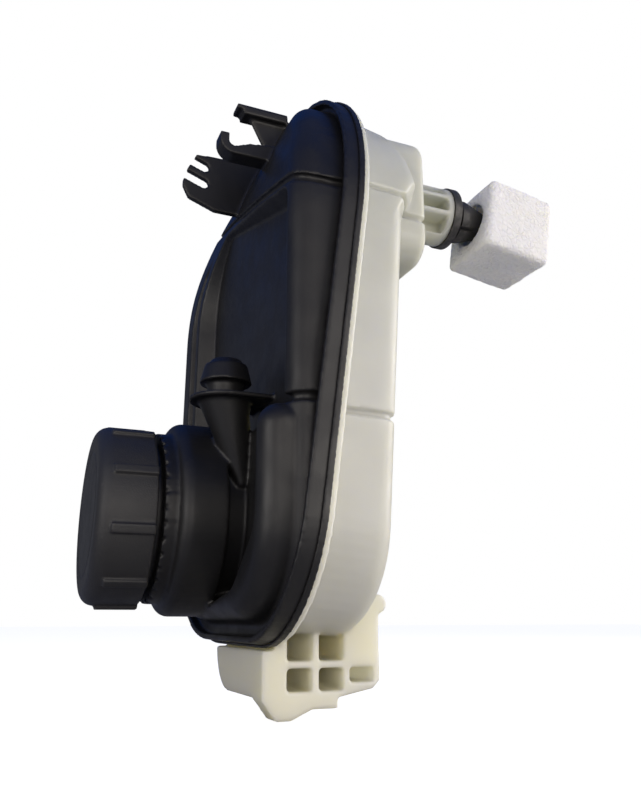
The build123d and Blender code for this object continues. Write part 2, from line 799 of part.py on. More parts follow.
rear_core = rear_hull(rear_crease_depth)
rear_crease = crease(rear_outer, rear_core, rear_crease_v, 0, rear_crease_height)
tower_crease = crease(rear_outer, rear_core, tower_crease_v, 0, rear_crease_height)
with BuildPart() as rear_shell:
    add(rear_outer)
    add(rear_crease, mode=Mode.SUBTRACT)
    add(tower_crease, mode=Mode.SUBTRACT)
    extrude(tank_outline(weld, lip), amount=-rear_flange)
    add(foot.part)
    add(peg.part)
    with BuildSketch(sensor):
        SlotCenterToCenter(2 * sensor_ear, 2 * (sensor_boss + 1))
        Circle(sensor_flange + 1)
    extrude(amount=-sensor_pad_height - wall)
    add(rear_inner, mode=Mode.SUBTRACT)
    add(baffle(rear_inner, crease_near_v, crease_slope, rear_hole_x))
    add(baffle(rear_inner, rear_crease_v, 0, rear_hole_x))
    with BuildSketch(sensor):
        with GridLocations(2 * sensor_ear, 0, 2, 1):
            Circle(sensor_boss)
    extrude(amount=-sensor_boss_depth)
    with BuildSketch(sensor):
        with GridLocations(2 * sensor_ear, 0, 2, 1):
            Circle(screw_radius + screw_fit)
    extrude(amount=-screw_length + sensor_flange_height, mode=Mode.SUBTRACT)
    with BuildSketch(sensor):
        Circle(sensor_hole)
    extrude(amount=-3 * wall, mode=Mode.SUBTRACT)
rear_shell.part.label = "rear_shell"

# Weld flash squeezed out between the flanges, all round
with BuildPart() as weld_bead:
    extrude(tank_outline(weld, lip + bead_width), amount=bead_half_height, both=True)
    extrude(tank_outline(weld, lip), amount=2 * bead_half_height, both=True, mode=Mode.SUBTRACT)
weld_bead.part.label = "weld_bead"

# Screw cap: grip shell with ribs, inner thread, and a groove for the ring that holds the insert
cap_inner_h = cap_top_h - cap_top_wall
flange_top_h = cap_inner_h - cap_fit
flange_low_h = flange_top_h - insert_flange
lock_top_h = flange_low_h - cap_fit
cap_thread_h = collar_height + ring_height + thread_base + thread_pitch / 2

with BuildPart() as cap_shell:
    with BuildSketch(along_cap(cap_rim_h)):
        Circle(cap_radius)
    extrude(amount=cap_top_h - cap_rim_h)
    fillet(cap_shell.edges().filter_by(GeomType.CIRCLE).sort_by(Axis.X)[0], cap_edge)
    with BuildSketch(along_cap(cap_rim_h)):
        with PolarLocations(cap_radius - 1, cap_ribs, start_angle=cap_rib_start):
            Rectangle(2 * (1 + cap_rib_proud), cap_rib_width)
    extrude(amount=cap_top_h - cap_rim_h - cap_edge)
    with BuildSketch(along_cap(cap_rim_h)):
        Circle(cap_skirt_bore)
    extrude(amount=cap_inner_h - cap_rim_h, mode=Mode.SUBTRACT)
    with BuildSketch(along_cap(lock_top_h - lock_ring_height - cap_fit)):
        Circle(cap_skirt_bore + lock_ring_bite)
    extrude(amount=lock_ring_height + cap_fit, mode=Mode.SUBTRACT)
    add(thread_ridge(cap_skirt_bore, cap_thread_h, False))
    # Raised ring and plain dimple on the face
    with BuildSketch(along_cap(cap_top_h)):
        Circle(face_ring_radius)
        Circle(face_ring_radius - 1.2, mode=Mode.SUBTRACT)
    extrude(amount=-0.5, mode=Mode.SUBTRACT)
cap_shell.part.label = "cap_shell"

with BuildPart() as cap_lock_ring:
    with BuildSketch(along_cap(lock_top_h - lock_ring_height)):
        Circle(cap_skirt_bore + lock_ring_bite - cap_fit)
        Circle(insert_flange_radius - lock_ring_bite, mode=Mode.SUBTRACT)
        with Locations((cap_skirt_bore, 0)):
            Rectangle(6, 5, mode=Mode.SUBTRACT)
    extrude(amount=lock_ring_height)
cap_lock_ring.part.label = "cap_lock_ring"

# Insert: flange under the cap, plunger in the neck's bore, seat of the pressure valve
seat_top_h = insert_end_h + seat_height
seal_mid_radius = neck_bore - seal_fit - seal_section / 2
with BuildPart() as cap_insert:
    with BuildSketch(axial):
        with BuildLine():
            Polyline(
                (seat_bore, insert_end_h),
                (insert_radius - 1.5, insert_end_h),
                (insert_radius, insert_end_h + 1.5),
                (insert_radius, flange_low_h),
                (insert_flange_radius, flange_low_h),
                (insert_flange_radius, flange_top_h),
                (insert_bore, flange_top_h),
                (insert_bore, seat_top_h),
                (seat_bore, seat_top_h),
                close=True,
            )
        make_face()
    revolve(axis=cap_axis)
    with BuildSketch(axial):
        with Locations((seal_mid_radius, seal_h)):
            Rectangle(seal_section + 2 * seal_fit, seal_section + 0.8)
    revolve(axis=cap_axis, mode=Mode.SUBTRACT)
    # Vents from over the retainer to the thread
    with BuildSketch(along_cap(flange_top_h)):
        with PolarLocations((insert_bore + insert_flange_radius) / 2, 4):
            Rectangle(insert_flange_radius - insert_bore + 2, 3)
    extrude(amount=-1, mode=Mode.SUBTRACT)
cap_insert.part.label = "cap_insert"

with BuildPart() as cap_seal:
    with BuildSketch(axial):
        with Locations((seal_mid_radius, seal_h)):
            Circle(seal_section / 2)
    revolve(axis=cap_axis)
cap_seal.part.label = "cap_seal"

with BuildPart() as cap_gasket:
    with BuildSketch(along_cap(flange_low_h)):
        Circle(gasket_outer)
        Circle(gasket_inner, mode=Mode.SUBTRACT)
    extrude(amount=neck_height - flange_low_h)
cap_gasket.part.label = "cap_gasket"

# Pressure relief valve
plate_low_h = seat_top_h + pressure_seal_height
plate_top_h = plate_low_h + plate_height
with BuildPart() as pressure_seal:
    with BuildSketch(along_cap(seat_top_h)):
        Circle(pressure_seal_outer)
        Circle(pressure_seal_inner, mode=Mode.SUBTRACT)
    extrude(amount=pressure_seal_height)
pressure_seal.part.label = "pressure_seal"

with BuildPart() as pressure_plate:
    with BuildSketch(along_cap(plate_low_h)):
        Circle(plate_radius)
        Circle(plate_hole, mode=Mode.SUBTRACT)
        with PolarLocations(poppet_radius - 1.8, 4):
            Circle(0.8, mode=Mode.SUBTRACT)
    extrude(amount=plate_height)
    with BuildSketch(along_cap(plate_top_h)):
        Circle(spring_radius - spring_wire / 2 - 0.4)
        Circle(spring_radius - spring_wire / 2 - 1.6, mode=Mode.SUBTRACT)
    extrude(amount=1.5)
pressure_plate.part.label = "pressure_plate"

with BuildPart() as spring_retainer:
    with BuildSketch(along_cap(retainer_h)):
        Circle(insert_bore)
        Circle(retainer_hole, mode=Mode.SUBTRACT)
        with PolarLocations(insert_bore * 0.62, 6):
            Circle(1.6, mode=Mode.SUBTRACT)
    extrude(amount=retainer_height)
spring_retainer.part.label = "spring_retainer"


def coil(label, radius, wire, low_h, high_h, turns):
    """Return a helical spring between two heights on the cap's axis."""
    start = chest_x - low_h - wire / 2
    length = high_h - low_h - wire
    with BuildPart() as spring:
        with BuildLine() as path:
            Helix(length / turns, length, radius, center=(start, cap_y, cap_z), direction=(-1, 0, 0))
        with BuildSketch(Plane(origin=path.wire() @ 0, z_dir=path.wire() % 0)):
            Circle(wire / 2)
        sweep(is_frenet=True)
    spring.part.label = label
    return spring.part


pressure_spring = coil("pressure_spring", spring_radius, spring_wire, plate_top_h, retainer_h, spring_turns)

# Vacuum valve: a poppet that hangs through the pressure plate on its own spring
poppet_top_h = plate_low_h - 0.05
stem_top_h = plate_top_h + poppet_stem_top
with BuildPart() as vacuum_poppet:
    with BuildSketch(along_cap(poppet_top_h - poppet_height)):
        Circle(poppet_radius)
    extrude(amount=poppet_height)
    with BuildSketch(along_cap(poppet_top_h)):
        Circle(poppet_stem)
    extrude(amount=stem_top_h - poppet_top_h)
    with BuildSketch(along_cap(stem_top_h)):
        Circle(poppet_head)
    extrude(amount=poppet_head_height)
vacuum_poppet.part.label = "vacuum_poppet"

vacuum_spring = coil(
    "vacuum_spring", vacuum_spring_radius, vacuum_spring_wire, plate_top_h, stem_top_h, vacuum_spring_turns
)

# Rubber buffer on the peg's stud
with BuildPart() as mounting_buffer:
    with BuildSketch(side):
        with BuildLine():
            nose_start = buffer_disc / 2 + waist_length
            nose_end = nose_start + nose_length
            Polyline(
                (-buffer_disc / 2, 0),
                (-buffer_disc / 2, buffer_radius),
                (buffer_disc / 2, buffer_radius),
                (buffer_disc / 2, waist_radius),
                (nose_start, waist_radius),
                (nose_start, nose_radius),
                (nose_start + 3, nose_radius),
                (nose_end - nose_tip_radius, nose_tip_radius + 1),
                (nose_end - nose_tip_radius / 3, nose_tip_radius - 1),
                (nose_end, 0),
                close=True,
            )
        make_face()
    revolve(axis=peg_axis)
    with BuildSketch(Plane(origin=(nose_start, 0, 0), x_dir=(0, 1, 0), z_dir=(1, 0, 0))):
        with PolarLocations(nose_radius, 4, start_angle=45):
            Rectangle(4.4, nose_slot)
    extrude(amount=nose_length, mode=Mode.SUBTRACT)
    with BuildSketch(Plane(origin=(-buffer_disc / 2, 0, 0), x_dir=(0, 1, 0), z_dir=(1, 0, 0))):
        Circle(stud_radius + rubber_gap)
    extrude(amount=stud_length + rubber_gap, mode=Mode.SUBTRACT)
mounting_buffer.part.label = "mounting_buffer"

# Foam block, pushed on the buffer's nose
foam_tilt = math.radians(foam_pitch)
foam_plane = Plane(
    origin=(foam_x, 0, foam_z), x_dir=(0, 1, 0), z_dir=(math.cos(foam_tilt), 0, -math.sin(foam_tilt))
)
foam_socket = Plane(origin=(0, 0, 0), x_dir=(0, 1, 0), z_dir=(1, 0, 0))
with BuildPart() as foam_block:
    with BuildSketch(foam_plane.offset(-foam_side / 2)):
        Rectangle(foam_side, foam_side)
    extrude(amount=foam_side)
    fillet(foam_block.edges(), foam_edge)
    with BuildSketch(foam_socket):
        Circle(nose_radius + foam_gap)
    extrude(amount=nose_end + foam_gap, mode=Mode.SUBTRACT)
foam_block.part.label = "foam_block"

# Level sensor: housing through the rear wall, stem with reed switch, float with magnet
flange_low = sensor.offset(sensor_gasket_height)
flange_high = sensor.offset(sensor_gasket_height + sensor_flange_height)
plug_end = sensor.offset(-sensor_plug_depth)
stem_end = sensor.offset(-sensor_plug_depth - stem_length)
with BuildPart() as sensor_housing:
    with BuildSketch(flange_low):
        SlotCenterToCenter(2 * sensor_ear, 2 * sensor_boss)
        Circle(sensor_flange)
    extrude(amount=sensor_flange_height)
    with BuildSketch(flange_low):
        Circle(sensor_plug_radius)
    extrude(amount=-sensor_gasket_height - sensor_plug_depth)
    with BuildSketch(plug_end):
        Circle(stem_radius)
    extrude(amount=-stem_length)
    with BuildSketch(flange_high):
        RectangleRounded(socket_width, socket_height, 2)
    extrude(amount=socket_length)
    with BuildSketch(flange_high.offset(socket_length)):
        RectangleRounded(socket_width - 2 * socket_wall, socket_height - 2 * socket_wall, 1)
    extrude(amount=-socket_length + 1, mode=Mode.SUBTRACT)
    with BuildSketch(stem_end):
        Circle(stem_bore)
    extrude(amount=stem_length - wall, mode=Mode.SUBTRACT)
    with BuildSketch(stem_end.offset(clip_ring_height / 2)):
        Circle(stem_radius + 1)
        Circle(stem_radius - clip_groove, mode=Mode.SUBTRACT)
    extrude(amount=clip_ring_height, mode=Mode.SUBTRACT)
    with BuildSketch(flange_low):
        with GridLocations(2 * sensor_ear, 0, 2, 1):
            Circle(screw_radius + cap_fit)
    extrude(amount=sensor_flange_height, mode=Mode.SUBTRACT)
sensor_housing.part.label = "sensor_housing"

with BuildPart() as sensor_gasket:
    with BuildSketch(sensor):
        Circle(sensor_gasket_outer)
        Circle(sensor_hole + cap_fit, mode=Mode.SUBTRACT)
    extrude(amount=sensor_gasket_height)
sensor_gasket.part.label = "sensor_gasket"

with BuildPart() as sensor_screws:
    with BuildSketch(flange_high):
        with GridLocations(2 * sensor_ear, 0, 2, 1):
            Circle(screw_radius)
    extrude(amount=-screw_length)
    with BuildSketch(flange_high):
        with GridLocations(2 * sensor_ear, 0, 2, 1):
            Circle(screw_head)
    extrude(amount=screw_head_height)
    with BuildSketch(flange_high.offset(screw_head_height)):
        with GridLocations(2 * sensor_ear, 0, 2, 1):
            Rectangle(screw_head * 1.3, screw_slot)
            Rectangle(screw_slot, screw_head * 1.3)
    extrude(amount=-screw_head_height / 2, mode=Mode.SUBTRACT)
sensor_screws.part.label = "sensor_screws"

with BuildPart() as sensor_pins:
    with BuildSketch(flange_high.offset(1)):
        with GridLocations(pin_pitch, 0, 2, 1):
            Rectangle(pin_side, pin_side)
    extrude(amount=pin_length)
sensor_pins.part.label = "sensor_pins"

with BuildPart() as reed_switch:
    with BuildSketch(stem_end.offset(2 * clip_ring_height)):
        Circle(reed_radius)
    extrude(amount=reed_length)
    fillet(reed_switch.edges(), reed_radius * 0.8)
reed_switch.part.label = "reed_switch"

float_rest = plug_end.offset(-float_fit)
with BuildPart() as level_float:
    with BuildSketch(float_rest):
        Circle(float_radius)
    extrude(amount=-float_height)
    fillet(level_float.edges(), 1.5)
    with BuildSketch(float_rest):
        Circle(stem_radius + float_fit)
    extrude(amount=-float_height, mode=Mode.SUBTRACT)
    with BuildSketch(float_rest):
        Circle(magnet_outer)
        Circle(magnet_inner, mode=Mode.SUBTRACT)
    extrude(amount=-magnet_height, mode=Mode.SUBTRACT)
level_float.part.label = "level_float"

with BuildPart() as float_magnet:
    with BuildSketch(float_rest):
        Circle(magnet_outer)
        Circle(magnet_inner, mode=Mode.SUBTRACT)
    extrude(amount=-magnet_height)
float_magnet.part.label = "float_magnet"

with BuildPart() as float_clip:
    with BuildSketch(stem_end.offset(clip_ring_height / 2)):
        Circle(clip_ring_radius)
        Circle(stem_radius - clip_groove, mode=Mode.SUBTRACT)
        with Locations((clip_ring_radius, 0)):
            Rectangle(2 * clip_ring_radius - 2, 2 * stem_radius - 2.4, mode=Mode.SUBTRACT)
    extrude(amount=clip_ring_height)
float_clip.part.label = "float_clip"

float_travel = stem_length - float_height - 1.5 * clip_ring_height - 2 * float_fit
print("float travel", round(float_travel, 2), "lift per turn", thread_pitch)

pieces = [
    front_shell, rear_shell, weld_bead, cap_shell, cap_lock_ring, cap_insert, cap_seal, cap_gasket,
    pressure_seal, pressure_plate, spring_retainer, vacuum_poppet, mounting_buffer, foam_block,
    sensor_housing, sensor_gasket, sensor_screws, sensor_pins, reed_switch, level_float, float_magnet,
    float_clip,
]
os.makedirs("parts", exist_ok=True)
for solid in [piece.part for piece in pieces] + [pressure_spring, vacuum_spring]:
    print(solid.label, solid.is_valid, len(solid.solids()), round(solid.volume))
    export_step(solid, f"parts/{solid.label}.step")
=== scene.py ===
"""Coolant reservoir: moulded skins, finishes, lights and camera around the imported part."""
import logging
from dataclasses import dataclass, field
from enum import Enum
from typing import Callable

import bmesh
import bpy
from mathutils import Matrix, Vector, noise


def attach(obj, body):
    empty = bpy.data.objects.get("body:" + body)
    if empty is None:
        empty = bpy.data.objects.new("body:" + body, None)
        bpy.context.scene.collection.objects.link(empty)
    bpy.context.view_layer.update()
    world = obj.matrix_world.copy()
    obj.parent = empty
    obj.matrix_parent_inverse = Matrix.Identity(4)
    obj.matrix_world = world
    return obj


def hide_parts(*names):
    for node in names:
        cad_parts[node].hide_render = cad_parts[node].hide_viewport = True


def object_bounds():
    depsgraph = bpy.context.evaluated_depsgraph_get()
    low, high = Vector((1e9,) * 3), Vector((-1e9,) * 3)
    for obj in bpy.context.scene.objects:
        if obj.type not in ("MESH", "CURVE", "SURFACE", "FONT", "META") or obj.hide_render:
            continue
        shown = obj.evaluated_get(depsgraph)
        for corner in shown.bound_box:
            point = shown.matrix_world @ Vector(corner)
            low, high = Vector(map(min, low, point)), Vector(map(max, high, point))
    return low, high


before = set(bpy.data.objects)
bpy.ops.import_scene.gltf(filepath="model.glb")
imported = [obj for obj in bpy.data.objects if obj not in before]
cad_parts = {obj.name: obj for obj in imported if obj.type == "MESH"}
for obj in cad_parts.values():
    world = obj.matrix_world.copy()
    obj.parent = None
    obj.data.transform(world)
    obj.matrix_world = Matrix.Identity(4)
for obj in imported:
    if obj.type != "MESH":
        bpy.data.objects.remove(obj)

LOG = logging.getLogger("coolant_reservoir")
MM = 0.001
CAD_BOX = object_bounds()


class Slot(Enum):
    """The record's material slots that this part's pieces take their finish from."""

    BLACK = "black_shell"
    NATURAL = "natural_shell"
    CAP = "cap_plastic"
    VALVE = "valve_plastic"
    SENSOR = "sensor_plastic"
    FLOAT = "float_plastic"
    SEAL = "seal_rubber"
    BUFFER = "buffer_rubber"
    FOAM = "foam"
    STEEL = "spring_steel"
    BRASS = "poppet_brass"
    CONTACT = "contact_metal"
    GLASS = "reed_glass"
    MAGNET = "magnet_ferrite"


class GroupBuilder:
    """Builds one shader node group with named inputs and outputs."""

    def __init__(self, name: str, inputs: dict[str, float], outputs: tuple[str, ...]) -> None:
        """Open a group.

        Args:
            name: The group's name.
            inputs: Each value input's name and default.
            outputs: The value outputs' names.
        """
        self.tree = bpy.data.node_groups.new(name, "ShaderNodeTree")
        for label, default in inputs.items():
            socket = self.tree.interface.new_socket(label, in_out="INPUT", socket_type="NodeSocketFloat")
            socket.default_value = default
        for label in outputs:
            self.tree.interface.new_socket(label, in_out="OUTPUT", socket_type="NodeSocketFloat")
        self.source = self.tree.nodes.new("NodeGroupInput")
        self.sink = self.tree.nodes.new("NodeGroupOutput")
        self.coords = self.tree.nodes.new("ShaderNodeTexCoord")

    def math(self, operation: str, first: object, second: object = 0.0, clamp: bool = False) -> object:
        """Apply one operation to two values.

        Args:
            operation: Blender's name of the operation.
            first: A socket or a number.
            second: A socket or a number.
            clamp: Whether the result is kept between 0 and 1.

        Returns:
            The result's socket.
        """
        node = self.tree.nodes.new("ShaderNodeMath")
        node.operation = operation
        node.use_clamp = clamp
        for socket, value in zip(node.inputs, (first, second)):
            if isinstance(value, (int, float)):
                socket.default_value = value
            else:
                self.tree.links.new(value, socket)
        return node.outputs[0]

    def noise(self, scale: object, detail: float = 3.0,
              stretch: tuple[float, float, float] = (1, 1, 1)) -> object:
        """Add a noise over the object's own coordinates.

        Args:
            scale: A socket or a number, in cells to the metre.
            detail: The octaves.
            stretch: How far each axis is scaled first.

        Returns:
            The noise's value socket.
        """
        mapping = self.tree.nodes.new("ShaderNodeMapping")
        mapping.inputs["Scale"].default_value = stretch
        self.tree.links.new(self.coords.outputs["Object"], mapping.inputs["Vector"])
        node = self.tree.nodes.new("ShaderNodeTexNoise")
        node.inputs["Detail"].default_value = detail
        if isinstance(scale, (int, float)):
            node.inputs["Scale"].default_value = scale
        else:
            self.tree.links.new(scale, node.inputs["Scale"])
        self.tree.links.new(mapping.outputs["Vector"], node.inputs["Vector"])
        return node.outputs[0]

    def cells(self, scale: object, feature: str = "F1") -> object:
        """Add a Voronoi pattern over the object's own coordinates.

        Args:
            scale: A socket or a number, in cells to the metre.
            feature: Blender's name of the distance that is taken.

        Returns:
            The distance socket.
        """
        node = self.tree.nodes.new("ShaderNodeTexVoronoi")
        node.feature = feature
        if isinstance(scale, (int, float)):
            node.inputs["Scale"].default_value = scale
        else:
            self.tree.links.new(scale, node.inputs["Scale"])
        self.tree.links.new(self.coords.outputs["Object"], node.inputs["Vector"])
        return node.outputs["Distance"]

    def ramp(self, value: object, low: float, high: float) -> object:
        """Spread a value smoothly from 0 at low to 1 at high.

        Args:
            value: The socket that is spread.
            low: Where the result is 0.
            high: Where the result is 1.

        Returns:
            The result's socket.
        """
        node = self.tree.nodes.new("ShaderNodeMapRange")
        node.interpolation_type = "SMOOTHSTEP"
        node.inputs["From Min"].default_value = low
        node.inputs["From Max"].default_value = high
        self.tree.links.new(value, node.inputs["Value"])
        return node.outputs["Result"]

    def given(self, label: str) -> object:
        """Return the socket of one of the group's inputs."""
        return self.source.outputs[label]

    def give(self, label: str, value: object) -> None:
        """Put a socket out as one of the group's outputs."""
        self.tree.links.new(value, self.sink.inputs[label])


def mould_grain_group() -> bpy.types.ShaderNodeTree:
    """Build the spark-eroded grain, slow shrink waves and uneven gloss of a moulding.

    Returns:
        The node group, with Height, Gloss and Tone outputs.
    """
    wave_height = 24.0
    cloud_scale, cloud_share = 95.0, 0.8
    speck_scale, speck_share = 900.0, 0.2
    gloss_low, gloss_high = 0.32, 0.68
    tone_scale, tone_low, tone_high = 28.0, 0.3, 0.7
    group = GroupBuilder(
        "mould_grain",
        {"Grain": 2600.0, "Wave": 42.0, "Grain Depth": 1.0, "Wave Depth": 1.0},
        ("Height", "Gloss", "Tone"),
    )
    fine = group.math("SUBTRACT", group.noise(group.given("Grain"), 4.0), 0.5)
    slow = group.math("SUBTRACT", group.noise(group.given("Wave"), 1.5), 0.5)
    height = group.math(
        "ADD",
        group.math("MULTIPLY", fine, group.given("Grain Depth")),
        group.math("MULTIPLY", slow, group.math("MULTIPLY", group.given("Wave Depth"), wave_height)),
    )
    group.give("Height", height)
    cloud = group.math("MULTIPLY", group.noise(cloud_scale, 5.0), cloud_share)
    speck = group.math("MULTIPLY", group.noise(speck_scale, 2.0), speck_share)
    group.give("Gloss", group.ramp(group.math("ADD", cloud, speck), gloss_low, gloss_high))
    group.give("Tone", group.ramp(group.noise(tone_scale, 4.0), tone_low, tone_high))
    return group.tree


def handling_group() -> bpy.types.ShaderNodeTree:
    """Build rubbed edges, dust that lies in hollows, and short scuffs.

    Returns:
        The node group, with Rub, Dust and Scuff outputs.
    """
    patch_scale, patch_low, patch_high = 420.0, 0.42, 0.66
    edge_gain = 22.0
    hollow, hollow_gain = 0.492, 16.0
    dust_scale, dust_low, dust_high = 180.0, 0.35, 0.7
    streak_stretch = (1.0, 6.0, 0.8)
    streak_low, streak_high = 0.66, 0.76
    group = GroupBuilder("handling", {"Edge": 0.52, "Scuff Scale": 60.0}, ("Rub", "Dust", "Scuff"))
    geometry = group.tree.nodes.new("ShaderNodeNewGeometry")
    pointed = geometry.outputs["Pointiness"]
    patches = group.noise(patch_scale, 5.0)
    rub = group.math("MULTIPLY", group.math("SUBTRACT", pointed, group.given("Edge")), edge_gain, True)
    group.give("Rub", group.math("MULTIPLY", rub, group.ramp(patches, patch_low, patch_high), True))
    sunk = group.math("MULTIPLY", group.math("SUBTRACT", hollow, pointed), hollow_gain, True)
    lying = group.ramp(group.noise(dust_scale, 4.0), dust_low, dust_high)
    group.give("Dust", group.math("MULTIPLY", sunk, lying, True))
    streak = group.noise(group.given("Scuff Scale"), 6.0, streak_stretch)
    group.give("Scuff", group.ramp(streak, streak_low, streak_high))
    return group.tree


def bead_group() -> bpy.types.ShaderNodeTree:
    """Build the pressed beads of expanded foam.

    Returns:
        The node group, with Height and Seam outputs.
    """
    seam_width, bead_width = 0.16, 0.3
    pit_scale, pit_share = 1500.0, 0.35
    group = GroupBuilder("foam_beads", {"Bead Scale": 420.0}, ("Height", "Seam"))
    edge = group.cells(group.given("Bead Scale"), "DISTANCE_TO_EDGE")
    group.give("Seam", group.ramp(edge, 0.0, seam_width))
    bead = group.ramp(edge, 0.0, bead_width)
    pits = group.math("MULTIPLY", group.noise(pit_scale, 3.0), pit_share)
    group.give("Height", group.math("ADD", bead, pits))
    return group.tree


class SharedEffects:
    """Node groups that several finishes share, each built once."""

    def __init__(self) -> None:
        """Build every group."""
        self.grain = mould_grain_group()
        self.handling = handling_group()
        self.beads = bead_group()


@dataclass(frozen=True)
class Finish:
    """A surface finish: its colours, gloss and relief."""

    name: str
    color: tuple[float, float, float]
    second: tuple[float, float, float]
    rubbed: tuple[float, float, float]
    roughness: float = 0.42
    roughness_spread: float = 0.12
    grain: float = 2600.0
    grain_depth: float = 1.0
    wave_depth: float = 1.0
    bump_distance: float = 0.00006
    metallic: float = 0.0
    specular: float = 0.5
    subsurface: float = 0.0
    subsurface_scale: float = 0.004
    transmission: float = 0.0
    dust: float = 0.25
    dust_color: tuple[float, float, float] = (0.30, 0.28, 0.25)
    # The colour towards the foot: a real yellower tint with painted glow laid over it.
    lower_tint_and_painted_glow: tuple[float, float, float] | None = None
    lower_tint_and_painted_glow_z: tuple[float, float] = (-0.19, 0.03)
    beads: float = 0.0

    def build(self, effects: SharedEffects) -> bpy.types.Material:
        """Make the finish's material.

        Args:
            effects: The shared node groups.

        Returns:
            The material.
        """
        material = bpy.data.materials.new(self.name)
        material.use_nodes = True
        nodes, links = material.node_tree.nodes, material.node_tree.links
        shader = nodes["Principled BSDF"]
        shader.inputs["Metallic"].default_value = self.metallic
        shader.inputs["Specular IOR Level"].default_value = self.specular
        shader.inputs["Subsurface Weight"].default_value = self.subsurface
        shader.inputs["Subsurface Radius"].default_value = (1.0, 0.95, 0.7)
        shader.inputs["Subsurface Scale"].default_value = self.subsurface_scale
        shader.inputs["Transmission Weight"].default_value = self.transmission
        grain = nodes.new("ShaderNodeGroup")
        grain.node_tree = effects.grain
        grain.inputs["Grain"].default_value = self.grain
        grain.inputs["Grain Depth"].default_value = self.grain_depth
        grain.inputs["Wave Depth"].default_value = self.wave_depth
        handling = nodes.new("ShaderNodeGroup")
        handling.node_tree = effects.handling

        tone = self.blend(nodes, links, self.color, self.second, grain.outputs["Tone"], 1.0)
        # Painted light at the foot: the colour turns lighter and yellower towards the foot. This is partly
        # the moulding's real yellower tint and partly painted glow that stands in for light shining through
        # the translucent foot.
        if self.lower_tint_and_painted_glow is not None:
            tone = self.blend(nodes, links, tone, self.lower_tint_and_painted_glow, self.tint_and_painted_glow_to_foot(nodes, links), 0.85)
        tone = self.blend(nodes, links, tone, self.dust_color, handling.outputs["Dust"], self.dust)
        tone = self.blend(nodes, links, tone, self.rubbed, handling.outputs["Rub"], 0.4)
        tone = self.blend(nodes, links, tone, self.rubbed, handling.outputs["Scuff"], 0.05)

        spread = nodes.new("ShaderNodeMapRange")
        spread.inputs["To Min"].default_value = self.roughness - self.roughness_spread / 2
        spread.inputs["To Max"].default_value = self.roughness + self.roughness_spread / 2
        links.new(grain.outputs["Gloss"], spread.inputs["Value"])
        links.new(spread.outputs["Result"], shader.inputs["Roughness"])

        bump = nodes.new("ShaderNodeBump")
        bump.inputs["Distance"].default_value = self.bump_distance
        links.new(grain.outputs["Height"], bump.inputs["Height"])
        normal = bump.outputs["Normal"]
        if self.beads:
            beads = nodes.new("ShaderNodeGroup")
            beads.node_tree = effects.beads
            beads.inputs["Bead Scale"].default_value = self.beads
            seam = nodes.new("ShaderNodeMapRange")
            seam.inputs["To Min"].default_value = 1.0
            seam.inputs["To Max"].default_value = 0.0
            links.new(beads.outputs["Seam"], seam.inputs["Value"])
            tone = self.blend(nodes, links, tone, self.second, seam.outputs["Result"], 0.5)
            pressed = nodes.new("ShaderNodeBump")
            pressed.inputs["Distance"].default_value = 0.0003
            links.new(beads.outputs["Height"], pressed.inputs["Height"])
            links.new(normal, pressed.inputs["Normal"])
            normal = pressed.outputs["Normal"]
        links.new(tone, shader.inputs["Base Color"])
        links.new(normal, shader.inputs["Normal"])
        return material

    def blend(self, nodes: object, links: object, first: object, second: object, mask: object,
              share: float) -> object:
        """Lay one colour over another by a mask.

        Args:
            nodes: The material's nodes.
            links: The material's links.
            first: The colour below, as a socket or a tuple.
            second: The colour on top, as a tuple.
            mask: The mask's socket.
            share: The most that the top colour covers.

        Returns:
            The mixed colour's socket.
        """
        scale = nodes.new("ShaderNodeMath")
        scale.operation = "MULTIPLY"
        scale.use_clamp = True
        scale.inputs[1].default_value = share
        links.new(mask, scale.inputs[0])
        mix = nodes.new("ShaderNodeMix")
        mix.data_type = "RGBA"
        if isinstance(first, tuple):
            mix.inputs["A"].default_value = (*first, 1.0)
        else:
            links.new(first, mix.inputs["A"])
        mix.inputs["B"].default_value = (*second, 1.0)
        links.new(scale.outputs[0], mix.inputs["Factor"])
        return mix.outputs["Result"]

    def tint_and_painted_glow_to_foot(self, nodes: object, links: object) -> object:
        """Return a mask that grows from the part's top to its foot, for the foot's yellower tint and its
        painted glow.
        """
        coords = nodes.new("ShaderNodeTexCoord")
        split = nodes.new("ShaderNodeSeparateXYZ")
        reach = nodes.new("ShaderNodeMapRange")
        reach.inputs["From Min"].default_value = self.lower_tint_and_painted_glow_z[1]
        reach.inputs["From Max"].default_value = self.lower_tint_and_painted_glow_z[0]
        links.new(coords.outputs["Object"], split.inputs["Vector"])
        links.new(split.outputs["Z"], reach.inputs["Value"])
        return reach.outputs["Result"]


WELD_MM = 0.002

